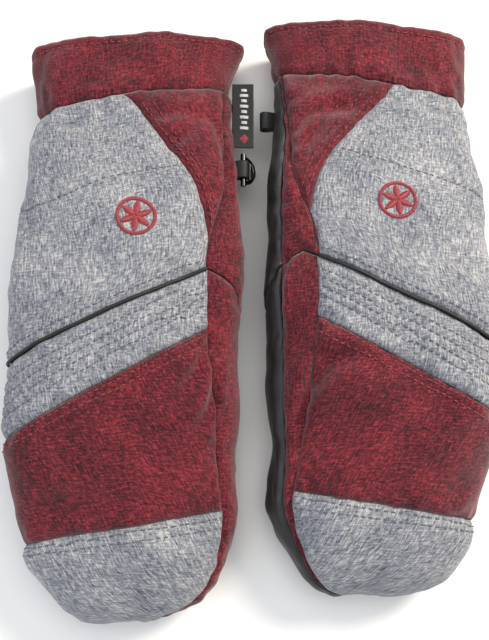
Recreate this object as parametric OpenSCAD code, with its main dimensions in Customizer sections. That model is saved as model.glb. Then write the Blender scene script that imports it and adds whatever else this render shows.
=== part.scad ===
// Pair of convertible flip-top ski mittens, lying palm down with the cuffs at +Y.
// Each mitten is drawn once, as the right-hand one, and mirrored for the left hand.
// A "station" is a distance along the mitten from the hood's hinge seam: the cuff is at
// positive stations and the fingertip at negative ones. An "angle" goes round the mitten:
// 0 is the thumb side, 90 the back of the hand, 180 the outer side and 270 the palm.

/* [Mitten] */
// Length from the fingertip to the cuff hem
mitten_length = 300; // [250:1:360]
// Length of the flip-top hood, from the fingertip to its hinge seam
hood_length = 150; // [140:1:170]
// Width across the cuff hem
hem_width = 115; // [95:1:122]
// Width where the cuff is sewn on
wrist_width = 103; // [86:1:116]
// Width across the back of the hand
hand_width = 112; // [95:1:120]
// Width at the hood's hinge seam
hinge_width = 117; // [97:1:142]
// Width where the fingertip panel starts
tip_width = 104; // [86:1:116]
// Height of the hood's hinge line above the table
hinge_height = 60; // [50:1:72]
// Height of the cuff at its hem
hem_height = 44; // [36:1:53]
// Height of the fingertip panel where it starts
tip_height = 46; // [38:1:52]
// Height of the tunnel under the palm, where the thumb is tucked
thumb_room = 15; // [13:0.5:20]

/* [Seams] */
// Length of the cuff band
cuff_length = 34; // [28:1:42]
// Distance from the hinge seam to the knuckle panel
band_length = 33; // [27:1:40]
// Length of the fingertip panel
tip_length = 45; // [38:1:54]
// Distance from the hinge seam to the hood's lip on the palm side
lip_setback = 43; // [36:1:52]
// Slant of the hinge seam across the back, in degrees
hinge_slant = 25; // [20:0.5:28]

/* [Layers] */
// Thickness of the outer cloth and leather
cloth = 1.6; // [1.3:0.1:2]
// Thickness of the insulation
padding = 3; // [2.5:0.1:3.6]
// Thickness of the lining
fleece = 1.4; // [1.1:0.1:1.7]
// Room between two layers
layer_room = 0.7; // [0.6:0.1:0.9]
// Radius of the piping in the hinge seam
piping_radius = 1.5; // [1.2:0.1:1.8]

/* [Thumb] */
// Length of the thumb pouch
thumb_length = 66; // [55:1:70]
// Width of the thumb pouch
thumb_width = 34; // [28:1:38]
// Height of the flattened thumb pouch
thumb_height = 13.4; // [11:0.1:13.8]

/* [Finger stalls] */
// Outer radius of a half-finger stall
stall_radius = 8; // [6.6:0.1:8.6]
// Length of a half-finger stall in front of its web
stall_length = 34; // [28:1:38]
// Thickness of the knitted wall
knit = 1.3; // [1:0.1:1.6]

/* [Trim] */
// Width of the woven label
label_width = 10.5; // [9:0.5:12]
// Length of the woven label
label_length = 36; // [30:1:42]
// Radius of the clip's crossbar
bar_radius = 1.5; // [1.3:0.1:1.8]
// Radial room of the crossbar in its webbing loop
bar_room = 0.25; // [0.1:0.05:0.4]
// Width of the webbing
webbing_width = 9; // [7.5:0.5:11]
// Radius of the clip's bow
bow_radius = 7; // [6:0.5:8]
// Diameter of the embroidered emblem
emblem_size = 20; // [17:1:24]

/* [Pair] */
// Distance between the two mittens' middles
pair_spacing = 129; // [129:1:170]
// How far the left mitten lies behind the right one
pair_stagger = 10; // [0:1:14]
// How far the left mitten's thumb-side seams lie turned up towards the back, in degrees
left_turn = 10; // [0:1:12]

/* [Hidden] */

// Colours
burgundy = "#7a1f33";
grey = "#a9abb4";
black = "#1b1b1d";
wadding = "#d9d7d0";
red = "#a3202c";

// Stations of the seams
hem_s = mitten_length - hood_length;
cuff_s = hem_s - cuff_length;
knuckle_s = -band_length;
tip_s = tip_length - hood_length;
thumb_hole = [cuff_s - 26, cuff_s - 68];
seam_gap = 0.3;
seam_gap_angle = 0.3;
parting = 4;
flat_depth = 1.2;

// Angles of the lengthwise seams. $turn raises the thumb-side seams of a mitten that lies
// rolled a little, and $palm_cols is the number of 15 degree columns of its palm leather.
$turn = 0;
$palm_cols = 10;
palm_in = -15;
palm_out = 195;
column = 15;
tip_round = 2.3;
tip_turn = 89.5;
round_power = 0.8;
tip_seam_z = 17;
thumb_clear = 0.3;

// Width, height, underside, middle and slant along the mitten, as [station, value]
widths = [[-hood_length, tip_width - 6], [tip_s, tip_width], [knuckle_s, hinge_width - 1],
    [0, hinge_width], [cuff_s - 56, hand_width], [cuff_s, wrist_width], [hem_s, hem_width]];
tops = [[-hood_length, tip_height - 6], [tip_s, tip_height], [-30, hinge_height - 1],
    [0, hinge_height], [30, hinge_height - 1], [cuff_s - 56, hinge_height - 4],
    [cuff_s, hem_height + 2], [hem_s, hem_height]];
lows = [[-hood_length, 0], [tip_s, 0], [-70, 0], [0, thumb_room - 2], [22, thumb_room],
    [cuff_s - 18, thumb_room], [cuff_s + 6, 0], [hem_s, 0]];
hem_middle = 1.5;
hem_slant = 0.06;
middles = [[-hood_length, 6], [tip_s, 4.5], [knuckle_s, 0.5], [0, 0], [cuff_s - 56, 0.5],
    [cuff_s, -0.5], [hem_s, hem_middle]];
slants = [[-hood_length, 0], [tip_s, 0.16], [knuckle_s, 0.54], [0, tan(hinge_slant)],
    [cuff_s - 56, 0.31], [cuff_s, 0.16], [hem_s, hem_slant]];
// Angle of the seam above the side strip, and of the back panel's thumb-side edge
strip_angles = [[-hood_length, 20], [tip_s, 29], [-70, 41], [knuckle_s, 48], [0, 48],
    [20, 44], [cuff_s - 68, 30], [cuff_s, 16]];
back_angles = [[0, 48], [20, 48], [cuff_s - 64, 57], [cuff_s - 31, 76], [cuff_s, 92]];

// Depths of the layers below the skin
padding_depth = cloth + layer_room;
lining_depth = padding_depth + padding + layer_room;
inner_depth = lining_depth + fleece;
facing = 1.2;
cuff_lining_depth = cloth + 2 * layer_room + facing;

function mix(a, b, t) = a + (b - a) * t;
function ease(t) = let (c = min(1, max(0, t))) c * c * (3 - 2 * c);
function power(v, p) = sign(v) * pow(abs(v), p);
// Smooth curve through [station, value] pairs, with each knot's slope from its neighbours
function knot(l, s, i = 0) = (i >= len(l) - 2 || s <= l[i + 1][0]) ? i : knot(l, s, i + 1);
function slope(l, i) =
    let (a = max(0, i - 1), b = min(len(l) - 1, i + 1)) (l[b][1] - l[a][1]) / (l[b][0] - l[a][0]);
function curve(l, s) =
    let (i = knot(l, s), h = l[i + 1][0] - l[i][0], t = (s - l[i][0]) / h,
         m = slope(l, i) * h, n = slope(l, i + 1) * h)
    mix(l[i][1], l[i + 1][1], t * t * (3 - 2 * t)) + t * (1 - t) * (m * (1 - t) - n * t);

// Point of the mitten's skin at a station and an angle, moved d inwards. The outline is a
// superellipse, cut flat where it lies on the table, that shrinks to the tip seam along a
// second one and slants across the hand.
function skin_point(s, a, d) =
    let (u = min(1, max(0, (tip_s - s) / (tip_length - d))),
         f = pow(1 - pow(u, tip_round), 1 / tip_round),
         w = (curve(widths, s) / 2 - d) * f,
         top = mix(tip_seam_z, curve(tops, s) - d, f),
         low = mix(tip_seam_z, max(0, curve(lows, s)) - flat_depth + d, f),
         x = curve(middles, s) + w * power(cos(a), round_power),
         z = (top + low) / 2 + (top - low) / 2 * power(sin(a), round_power))
    [x, s + x * curve(slants, s), max(d, z)];

// Station of the fingertip's ring t of 0 to 1, at depth d
function tip_station(t, d) = tip_s - (tip_length - d) * power(sin(tip_turn * t), 2 / tip_round);

// Angle of the seam above the side strip
function strip(s) = curve(strip_angles, s) + $turn * ease((cuff_s - s) / 60);
function palm_edge() = palm_out + $palm_cols * column - 360;

// How far in front of the hinge seam the hood parts from the hand: nothing over the back,
// then slanting forward down the thumb side to the lip under the palm
function part_setback(a) =
    let (b = (a + 360 - palm_in) % 360 + palm_in, top = curve(strip_angles, 0))
    b <= top ? lip_setback * (top - b) / (top - palm_in)
    : lip_setback * min(1, max(0, b - palm_out) / column);

// The palm leather parts straight across, and slants only where it reaches up the thumb side
function palm_setback(a) = a > 360 + palm_in ? part_setback(a) : lip_setback;

// A closed wall between two grids of points, with rows from the cuff towards the tip and
// columns round the mitten. A hole leaves out rows hole[0] to hole[1], columns hole[2] to hole[3].
module skin(outer, inner, ring = false, hole = [0, 0, 0, 0])
{
    rows = len(outer);
    cols = len(outer[0]);
    cells = ring ? cols : cols - 1;
    n = rows * cols;
    function at(i, j) = i * cols + (j + cols) % cols;
    function col(j) = ring ? (j + cols) % cols : j;
    function on(i, j) = i >= 0 && i < rows - 1 && col(j) >= 0 && col(j) < cells
        && !(i >= hole[0] && i < hole[1] && col(j) >= hole[2] && col(j) < hole[3]);
    function wall(p, q) = [[n + p, p, q], [n + q, n + p, q]];
    faces = [for (i = [0:rows - 2], j = [0:cells - 1]) if (on(i, j))
        let (a = at(i, j), b = at(i, j + 1), c = at(i + 1, j + 1), d = at(i + 1, j))
        each concat([[c, b, a], [d, c, a], [n + b, n + c, n + a], [n + c, n + d, n + a]],
            on(i - 1, j) ? [] : wall(a, b), on(i, j + 1) ? [] : wall(b, c),
            on(i + 1, j) ? [] : wall(c, d), on(i, j - 1) ? [] : wall(d, a))];
    polyhedron([each each outer, each each inner], faces);
}

// Wall between two depths over a grid that station(i, a, d) and angle(i, j) give
module wall(station, angle, rows, cols, depths, ring = false, hole = [0, 0, 0, 0])
{
    grids = [for (k = [0, 1]) [for (i = [0:rows]) [for (j = [0:ring ? cols - 1 : cols])
        let (a = angle(i, j), d = depths(k, i)) skin_point(station(i, a, d), a, d)]]];
    skin(grids[0], grids[1], ring, hole);
}

// Stations of the hand's rows: even ones on each side of the thumb hole, then to the hood
hand_rows = [cuff_s - seam_gap, cuff_s - 14, thumb_hole[0], cuff_s - 40, cuff_s - 54,
    thumb_hole[1], (thumb_hole[1] + 14) / 2, 14];
function hand_station(i, last) = i < len(hand_rows) ? hand_rows[i]
    : mix(14, last, (i - len(hand_rows) + 1) / 3);
hand_row_count = len(hand_rows) + 2;
hinge_room = piping_radius + 0.35;
function low_back(s) = max(strip(s) + 2, curve(back_angles, max(0, s)) + $turn / 2);

module hand_panel(low, high, cols, last, hole = [0, 0, 0, 0])
    wall(function (i, a, d) hand_station(i, last(a)),
        function (i, j) let (s = hand_station(i, 0)) mix(low(s), high(s), j / cols),
        hand_row_count, cols, function (k, i) k * cloth, false, hole);

module back_panel()
    color(grey)
    hand_panel(function (s) low_back(s) + seam_gap_angle,
        function (s) palm_out - seam_gap_angle, 12, function (a) hinge_room);

module wrist_gusset()
    color(burgundy)
    hand_panel(function (s) strip(s) + seam_gap_angle,
        function (s) low_back(s) - seam_gap_angle, 4, function (a) hinge_room);

module hand_fourchette()
    color(burgundy)
    hand_panel(function (s) palm_edge() + seam_gap_angle,
        function (s) strip(s) - seam_gap_angle, 5,
        function (a) seam_gap - part_setback(a));

module palm_panel()
    color(black)
    hand_panel(function (s) palm_out, function (s) 360 + palm_edge(), $palm_cols,
        function (a) seam_gap - palm_setback(a), [2, 5, 6, 9]);

module ring_wall(station, rows, depths, hole = [0, 0, 0, 0])
    wall(station, function (i, j) j * column, rows, 360 / column, depths, true, hole);

module cuff_band()
    color(burgundy)
    ring_wall(function (i, a, d) mix(hem_s, cuff_s, i / 3), 3, function (k, i) k * cloth);

module cuff_facing()
    color(burgundy)
    ring_wall(function (i, a, d) mix(hem_s - 1, hem_s - 14, i), 1,
        function (k, i) cloth + layer_room + k * facing);

module wrist_elastic()
    color(black)
    ring_wall(function (i, a, d) mix(cuff_s + 10, cuff_s + 1, i), 1,
        function (k, i) cloth + layer_room + k * facing);

// Insulation and lining reach the hood along the same slanting parting line
module hand_insulation()
    color(wadding)
    ring_wall(
        function (i, a, d) i == 0 ? cuff_s - 12 : hand_station(i, parting - part_setback(a)),
        hand_row_count, function (k, i) padding_depth + k * padding, [2, 5, 19, 22]);

// The lining lies close to the cuff band, and deeper where the insulation starts
cuff_rows = [hem_s - 1.5, hem_s - 14, cuff_s + 10];
module hand_lining()
    color(black)
    ring_wall(
        function (i, a, d) i < len(cuff_rows) ? cuff_rows[i]
            : hand_station(i - len(cuff_rows), parting - part_setback(a)),
        hand_row_count + len(cuff_rows),
        function (k, i) (i <= len(cuff_rows) ? cuff_lining_depth : lining_depth) + k * fleece,
        [5, 8, 19, 22]);

// Hood rows: straight ones to the fingertip seam, then the rounded tip
function hood_station(i, straight, tip, start, d) =
    i <= straight ? mix(start, tip_s, i / straight) : tip_station((i - straight) / tip, d);

module hood_panel(from, to, rows)
    wall(function (i, a, d) mix(from, to, i / rows),
        function (i, j)
            let (s = mix(from, to, i / rows))
            mix(strip(s) + seam_gap_angle, palm_out - seam_gap_angle, j / 12),
        rows, 12, function (k, i) k * cloth);

module quilted_band() color(grey) hood_panel(-hinge_room, knuckle_s, 3);

module knuckle_panel() color(burgundy) hood_panel(knuckle_s - seam_gap, tip_s, 4);

module tip_panel()
    color(grey)
    wall(function (i, a, d) i == 0 ? tip_s - seam_gap : tip_station(i / 7, d),
        function (i, j)
            let (s = tip_station(i / 7, 0))
            mix(strip(s) + seam_gap_angle, palm_out - seam_gap_angle, j / 12),
        7, 12, function (k, i) k * cloth);

module hood_side(low, high, cols, start)
    wall(function (i, a, d) hood_station(i, 6, 7, start(a), d),
        function (i, j)
            let (s = hood_station(i, 6, 7, -lip_setback / 2, 0)) mix(low(s), high(s), j / cols),
        13, cols, function (k, i) k * cloth);

module hood_fourchette()
    color(burgundy)
    hood_side(function (s) palm_edge() + seam_gap_angle,
        function (s) strip(s) - seam_gap_angle, 5,
        function (a) -hinge_room - part_setback(a));

module hood_palm()
    color(black)
    hood_side(function (s) palm_out, function (s) 360 + palm_edge(), $palm_cols,
        function (a) -(a > 360 + palm_in ? hinge_room : seam_gap) - palm_setback(a));

module hood_insulation()
    color(wadding)
    ring_wall(function (i, a, d) hood_station(i, 5, 5, -parting - part_setback(a), d), 10,
        function (k, i) padding_depth + k * padding);

module hood_lining()
    color(black)
    ring_wall(function (i, a, d) hood_station(i, 5, 5, -parting - part_setback(a), d), 10,
        function (k, i) lining_depth + k * fleece);

// Elastic tape that closes the edge of the layers round the hood's lip
module lip_binding()
    color(black)
    wall(function (i, a, d) mix(-lip_setback - 0.6, -lip_setback - 3.4, i),
        function (i, j) mix(palm_out + column, 360 + palm_in, j / 9), 1, 9,
        function (k, i) mix(cloth + 0.4, inner_depth, k));

// Thumb pouch, flattened under the palm: a superellipse carried from its root to its tip
thumb_root = [40, thumb_hole[0] - 1];
thumb_turn = atan2(26, 58);
function thumb_point(t, a, d) =
    let (f = max(0.06, pow(sin(180 * t), 0.6)),
         run = d + (thumb_length - 2 * d) * (1 - cos(180 * t)) / 2,
         side = (thumb_width / 2 - d) * f * power(cos(a), round_power),
         rise = thumb_clear + thumb_height / 2
             + (thumb_height / 2 - d) * f * power(sin(a), round_power))
    [thumb_root[0] - run * sin(thumb_turn) + side * cos(thumb_turn),
     thumb_root[1] - run * cos(thumb_turn) - side * sin(thumb_turn) * 1, rise];

module thumb_wall(from, to)
    skin([for (i = [0:8]) [for (j = [0:15]) thumb_point(i / 8, j * 22.5, from)]],
        [for (i = [0:8]) [for (j = [0:15]) thumb_point(i / 8, j * 22.5, to)]],
        true, [2, 5, 2, 6]);

module thumb_shell() color(black) thumb_wall(0, 1.4);

module thumb_lining() color(black) thumb_wall(1.9, 3);

// Frame of the hinge seam: X along the seam, -Y towards the fingertip
module hinge_frame() translate([0, 0, hinge_height]) rotate([0, 0, hinge_slant]) children();

// Piping: a straight stretch on the hinge line over the flat of the back, and a cord that
// follows the skin down each side of it
piping_sides = 8;
module piping_cord(from, to, rows)
{
    path = [for (i = [0:rows]) skin_point(0, mix(from, to, i / rows), 0)];
    across = [-sin(hinge_slant), cos(hinge_slant), 0];
    rings = [for (i = [0:rows])
        let (run = path[min(rows, i + 1)] - path[max(0, i - 1)],
             up = cross(run / norm(run), across))
        [for (k = [0:piping_sides - 1])
            let (a = k * 360 / piping_sides)
            path[i] + (piping_radius - 0.3) * (cos(a) * across + sin(a) * up)]];
    n = piping_sides;
    polyhedron([each each rings], [
        [for (k = [0:n - 1]) k],
        for (i = [0:rows - 1], k = [0:n - 1])
            let (a = i * n + k, b = i * n + (k + 1) % n) each [[a, a + n, b + n], [a, b + n, b]],
        [for (k = [n - 1:-1:0]) rows * n + k]]);
}

flat_half = hinge_width * 0.3;
flat_angle = 63;
module hinge_piping()
    color(black) {
        hinge_frame()
            rotate([0, 90, 0])
                cylinder(r = piping_radius, h = 2 * flat_half, center = true, $fn = 32);
        piping_cord(min(strip(0), flat_angle - 7) + 2, flat_angle - 4, 2);
        piping_cord(180 - flat_angle + 4, palm_out, 8);
    }

// Four half-finger stalls on a knitted web that closes the hand behind the hood
web_y = 7;
web_thickness = 1.4;
web_room = 3.3;
stall_depth = 24;
// Four stalls side by side have to fit between the linings.
stall_room = min(stall_radius, (hinge_width - 21) / 12);
stall_pitch = (2 * stall_room + 0.4) / cos(hinge_slant);
stall_shift = -7 * hinge_width / 117;
module stall_tube(k, r, from, to)
    translate([stall_shift + (k - 1.5) * stall_pitch, 0, -stall_depth])
        rotate([90, 0, -hinge_slant])
            translate([0, 0, from])
                cylinder(r = r, h = to - from, $fn = 32);

module stall_frame() hinge_frame() translate([0, web_y, 0]) children();

module stall_web()
    color(black)
    stall_frame()
    difference() {
        rotate([90, 0, 0])
            linear_extrude(web_thickness)
                polygon([for (a = [0:column:345])
                    let (p = skin_point(web_y, a, inner_depth + web_room))
                    [p[0] / cos(hinge_slant), p[2] - hinge_height]]);
        for (k = [0:3]) stall_tube(k, stall_room - knit, -stall_room, stall_room);
    }

// One open tube, cut off slantwise just in front of the web
module stall(k)
    color(black)
    stall_frame()
    difference() {
        stall_tube(k, stall_room, -stall_room, stall_length);
        stall_tube(k, stall_room - knit, -2 * stall_room, 2 * stall_length);
        translate([stall_shift + (k - 2.5) * stall_pitch, -web_thickness - seam_gap,
            -stall_depth - stall_pitch])
            cube([2 * stall_pitch, 2 * stall_pitch, 2 * stall_pitch]);
    }

// Raised embroidery: a ring round a six-armed star
emblem_s = 44;
module emblem(side)
    color(red)
    let (x = side * 6, s = emblem_s, rise = (curve(tops, s + 1) - curve(tops, s - 1)) / 2)
    translate([x, s, curve(tops, s) + 0.35])
    rotate([atan(rise), 0, 0])
    linear_extrude(0.8) {
        difference() {
            circle(d = emblem_size, $fn = 64);
            circle(d = emblem_size - 3, $fn = 64);
        }
        for (k = [0:5])
            rotate(k * 60)
                translate([0, -0.8])
                    square([emblem_size / 2 - 0.8, 1.6]);
    }

// Woven label on the thumb side of the cuff, then the webbing and the clip below it
label_s = cuff_s - 24;
label_x = max([for (s = [label_s - 12:4:label_s + label_length]) skin_point(s, 0, 0)[0]]) + 0.5;
label_z = 30;
module label_tab()
    color(black)
    translate([label_x, label_s, label_z])
    cube([label_width, label_length, 1.2]);

clip_s = label_s - 11;
loop_s = clip_s + 18;
clip_z = 26;
web_fold = 1.3;
eye_radius = bar_radius + bar_room + web_fold;
strap_length = 1.6 * eye_radius;
function strap_x(s) = skin_point(s, 0, 0)[0] + 0.7 + strap_length;
// The strap runs from the side seam to an eye round the clip's crossbar
module webbing_loop(s)
    color(black)
    translate([strap_x(s), s, clip_z])
    rotate([90, 0, 0])
    difference() {
        union() {
            cylinder(r = eye_radius, h = webbing_width, center = true, $fn = 32);
            translate([-strap_length, -web_fold, -webbing_width / 2])
                cube([strap_length, 2 * web_fold, webbing_width]);
        }
        cylinder(r = bar_radius + bar_room, h = webbing_width + 2, center = true, $fn = 32);
    }

// D-shaped clip: a crossbar in the webbing, a bow round it and a tongue across
bow_tube = 1.2;
clip_hang = 35;
module clip_ring()
    color(black)
    translate([strap_x(clip_s), clip_s, clip_z])
    rotate([0, clip_hang, 0]) {
        rotate([90, 0, 0])
            cylinder(r = bar_radius, h = 2 * (bow_radius + bow_tube + 0.8), center = true, $fn = 32);
        rotate([0, 0, -90])
            rotate_extrude(angle = 180, $fn = 48)
                translate([bow_radius, 0])
                    circle(r = bow_tube, $fn = 24);
        translate([bow_radius * 0.62, 0, 0])
            rotate([90, 0, 0])
                cylinder(r = 0.9, h = 2 * bow_radius * 0.75, center = true, $fn = 24);
    }

// The two mittens' places, with the pair's box centred on the origin
pair_y = hood_length - mitten_length / 2 - hem_slant * (hem_width / 2 + hem_middle) / 2;
module right_place() translate([-pair_spacing / 2, pair_y - pair_stagger / 2, 0]) children();
module left_place()
{
    $turn = left_turn;
    $palm_cols = 12;
    translate([pair_spacing / 2, pair_y + pair_stagger / 2, 0]) mirror([1, 0, 0]) children();
}

right_place() cuff_band();  // right_cuff_band
right_place() cuff_facing();  // right_cuff_facing
right_place() back_panel();  // right_back_panel
right_place() wrist_gusset();  // right_wrist_gusset
right_place() hand_fourchette();  // right_hand_fourchette
right_place() palm_panel();  // right_palm_panel
right_place() hand_insulation();  // right_hand_insulation
right_place() hand_lining();  // right_hand_lining
right_place() wrist_elastic();  // right_wrist_elastic
right_place() thumb_shell();  // right_thumb_shell
right_place() thumb_lining();  // right_thumb_lining
right_place() stall_web();  // right_stall_web
right_place() stall(3);  // right_index_stall
right_place() stall(2);  // right_middle_stall
right_place() stall(1);  // right_ring_stall
right_place() stall(0);  // right_little_stall
right_place() hinge_piping();  // right_hinge_piping
right_place() emblem(1);  // right_emblem
right_place() quilted_band();  // right_quilted_band
right_place() knuckle_panel();  // right_knuckle_panel
right_place() tip_panel();  // right_tip_panel
right_place() hood_fourchette();  // right_hood_fourchette
right_place() hood_palm();  // right_hood_palm
right_place() hood_insulation();  // right_hood_insulation
right_place() hood_lining();  // right_hood_lining
right_place() lip_binding();  // right_lip_binding
right_place() label_tab();
right_place() webbing_loop(clip_s);  // clip_webbing
right_place() clip_ring();
left_place() cuff_band();  // left_cuff_band
left_place() cuff_facing();  // left_cuff_facing
left_place() back_panel();  // left_back_panel
left_place() wrist_gusset();  // left_wrist_gusset
left_place() hand_fourchette();  // left_hand_fourchette
left_place() palm_panel();  // left_palm_panel
left_place() hand_insulation();  // left_hand_insulation
left_place() hand_lining();  // left_hand_lining
left_place() wrist_elastic();  // left_wrist_elastic
left_place() thumb_shell();  // left_thumb_shell
left_place() thumb_lining();  // left_thumb_lining
left_place() stall_web();  // left_stall_web
left_place() stall(3);  // left_index_stall
left_place() stall(2);  // left_middle_stall
left_place() stall(1);  // left_ring_stall
left_place() stall(0);  // left_little_stall
left_place() hinge_piping();  // left_hinge_piping
left_place() emblem(-1);  // left_emblem
left_place() quilted_band();  // left_quilted_band
left_place() knuckle_panel();  // left_knuckle_panel
left_place() tip_panel();  // left_tip_panel
left_place() hood_fourchette();  // left_hood_fourchette
left_place() hood_palm();  // left_hood_palm
left_place() hood_insulation();  // left_hood_insulation
left_place() hood_lining();  // left_hood_lining
left_place() lip_binding();  // left_lip_binding
left_place() webbing_loop(loop_s);  // left_clip_loop
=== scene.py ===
import math

import bmesh
import bpy
import numpy as np
from mathutils import Matrix, Vector
from mathutils.bvhtree import BVHTree


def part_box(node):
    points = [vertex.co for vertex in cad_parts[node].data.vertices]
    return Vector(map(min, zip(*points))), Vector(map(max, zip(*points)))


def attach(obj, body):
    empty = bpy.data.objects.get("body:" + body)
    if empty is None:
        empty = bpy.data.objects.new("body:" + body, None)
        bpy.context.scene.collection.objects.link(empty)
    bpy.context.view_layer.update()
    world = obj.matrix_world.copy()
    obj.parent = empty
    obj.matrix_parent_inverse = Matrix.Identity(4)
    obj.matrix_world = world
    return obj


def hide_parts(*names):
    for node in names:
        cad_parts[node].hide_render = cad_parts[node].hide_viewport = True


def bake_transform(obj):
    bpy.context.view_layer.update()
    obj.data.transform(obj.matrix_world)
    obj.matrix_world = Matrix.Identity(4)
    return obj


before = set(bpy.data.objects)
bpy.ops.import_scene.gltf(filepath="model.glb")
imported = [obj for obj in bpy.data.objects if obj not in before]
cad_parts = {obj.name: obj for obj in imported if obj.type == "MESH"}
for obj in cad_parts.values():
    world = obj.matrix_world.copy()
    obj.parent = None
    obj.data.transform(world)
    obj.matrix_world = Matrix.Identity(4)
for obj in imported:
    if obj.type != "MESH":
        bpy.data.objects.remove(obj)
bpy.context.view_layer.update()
print("frame loaded")

# The mitten's skin, in millimetres, drawn as the right-hand one. A station runs along it:
# cuff hem +150, hinge seam 0, fingertip -150. An angle runs round it: 0 thumb side, 90 back
# of the hand, 180 outer side, 270 palm.
mitten = {
    "widths": [[-150, 98], [-105, 104], [-33, 116], [0, 117], [60, 112], [116, 103], [150, 115]],
    "tops": [[-150, 40], [-105, 46], [-30, 59], [0, 60], [30, 59], [60, 56], [116, 46], [150, 44]],
    "lows": [[-150, 0], [-105, 0], [-70, 0], [0, 13], [22, 15], [98, 15], [122, 0], [150, 0]],
    "middles": [[-150, 6], [-105, 4.5], [-33, 0.5], [0, 0], [60, 0.5], [116, -0.5], [150, 1.5]],
    "slants": [[-150, 0], [-105, 0.16], [-33, 0.54], [0, math.tan(math.radians(25))],
               [60, 0.31], [116, 0.16], [150, 0.06]],
    "stripSeam": [[-150, 20], [-105, 29], [-70, 41], [-33, 48], [0, 48], [20, 44], [48, 30],
                  [116, 16]],
    "backSeam": [[0, 48], [20, 48], [52, 57], [85, 76], [116, 92]],
    "tipSeam": -105, "tipLength": 45, "knuckleSeam": -33, "cuffSeam": 116, "hem": 150,
    "palmOut": 195, "lipSetback": 43, "hingeRoom": 0.7, "hingeHeight": 60, "slant": 25,
    "spacing": 129, "stagger": 10, "middleY": -1.77, "leftTurn": 10,
}
hem, cuffSeam, knuckleSeam, tipSeam, palmOut, lipSetback = (
    mitten[k] for k in ("hem", "cuffSeam", "knuckleSeam", "tipSeam", "palmOut", "lipSetback"))
cloth = {"thickness": 1.2, "grid": 1.5, "seamDepth": 1.5, "seamWidth": 2.2, "puff": 1.3,
         "pucker": 0.28, "puckerReach": 7.0, "sag": 0.9, "inset": 1.2, "allowance": 0.9,
         "creaseScale": 1.5}


def curve(knots, s):  # smooth curve through [station, value] pairs, slopes from the neighbours
    x, y = np.array(knots, float).T
    s = np.clip(np.asarray(s, float), x[0], x[-1])
    i = np.clip(np.searchsorted(x, s) - 1, 0, len(x) - 2)
    m = np.empty(len(x))
    m[1:-1] = (y[2:] - y[:-2]) / (x[2:] - x[:-2])
    m[0], m[-1] = (y[1] - y[0]) / (x[1] - x[0]), (y[-1] - y[-2]) / (x[-1] - x[-2])
    h = x[i + 1] - x[i]
    t = (s - x[i]) / h
    return y[i] + (y[i + 1] - y[i]) * t * t * (3 - 2 * t) + t * (1 - t) * (
        m[i] * h * (1 - t) - m[i + 1] * h * t)


def ease(t):
    t = np.clip(t, 0, 1)
    return t * t * (3 - 2 * t)


def bulge(v, p=0.8):
    return np.sign(v) * np.abs(v) ** p


# A ring of the skin is a superellipse, flat on the table, that shrinks round the fingertip
# along a second one and slants across the hand. d moves it inwards.
def skin(s, a, d=0.0):
    s, a, d = np.broadcast_arrays(np.asarray(s, float), np.asarray(a, float), np.asarray(d, float))
    u = np.clip((tipSeam - s) / (mitten["tipLength"] - d), 0, 1)
    f = (1 - u ** 2.3) ** (1 / 2.3)
    r = np.radians(a)
    w = (curve(mitten["widths"], s) / 2 - d) * f
    top = 17 + (curve(mitten["tops"], s) - d - 17) * f
    low = 17 + (np.maximum(0, curve(mitten["lows"], s)) - 1.2 + d - 17) * f
    x = curve(mitten["middles"], s) + w * bulge(np.cos(r))
    z = (top + low) / 2 + (top - low) / 2 * bulge(np.sin(r))
    return np.stack([x, s + x * curve(mitten["slants"], s), np.maximum(d, z)], -1)


def tipStation(t, d=0.0):  # station of the fingertip's ring t of 0 to 1
    return tipSeam - (mitten["tipLength"] - d) * np.sin(np.radians(89.5 * t)) ** (2 / 2.3)


def stripSeam(s, side):
    turn = mitten["leftTurn"] if side == "left" else 0
    return curve(mitten["stripSeam"], s) + turn * ease((cuffSeam - s) / 60)


def backSeam(s, side):
    turn = mitten["leftTurn"] / 2 if side == "left" else 0
    return np.maximum(stripSeam(s, side) + 2, curve(mitten["backSeam"], np.maximum(0, s)) + turn)


def palmEdge(s, side):  # the left mitten lies rolled, so more of its leather shows
    if side == "left":
        return np.minimum(27.0, stripSeam(s, side) - 7)
    return np.full(np.shape(s), -15.0)


def setback(a):  # how far in front of the hinge seam the hood parts from the hand
    b = (np.asarray(a, float) + 15) % 360 - 15
    return np.where(b <= 48, lipSetback * (48 - b) / 63,
                    lipSetback * np.clip((b - palmOut) / 15, 0, 1))


def place(p, side):  # from one mitten's own millimetres to the pair's place, in metres
    q = np.array(p, float)
    half, step = mitten["spacing"] / 2, mitten["stagger"] / 2
    if side == "right":
        q[..., 0] -= half
        q[..., 1] += mitten["middleY"] - step
    else:
        q[..., 0] = half - q[..., 0]
        q[..., 1] += mitten["middleY"] + step
    return q / 1000


# Smooth noise: a sum of plane waves with seeded directions, lengths and phases.
def ripple(p, wavelength, seed, stretch=(1, 1, 1), waves=14):
    r = np.random.default_rng(seed)
    k = r.normal(size=(waves, 3))
    k /= np.linalg.norm(k, axis=1, keepdims=True)
    k *= r.uniform(0.75, 1.35, (waves, 1)) * 2 * math.pi / wavelength
    phase = r.uniform(0, 2 * math.pi, waves)
    q = p / np.array(stretch, float)
    return np.sin(q @ k.T + phase).sum(-1) / math.sqrt(waves / 2)


def normals(p):  # cross product of a grid's two directions, pointing out of the mitten
    n = np.cross(np.gradient(p, axis=1), np.gradient(p, axis=0))
    length = np.linalg.norm(n, axis=-1, keepdims=True)
    return n / np.maximum(length, 1e-9)


def arcs(p, axis):  # length along a grid's rows or columns
    step = np.linalg.norm(np.diff(p, axis=axis), axis=-1)
    zero = np.zeros_like(np.take(step, [0], axis=axis))
    return np.concatenate([zero, np.cumsum(step, axis=axis)], axis=axis)


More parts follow.
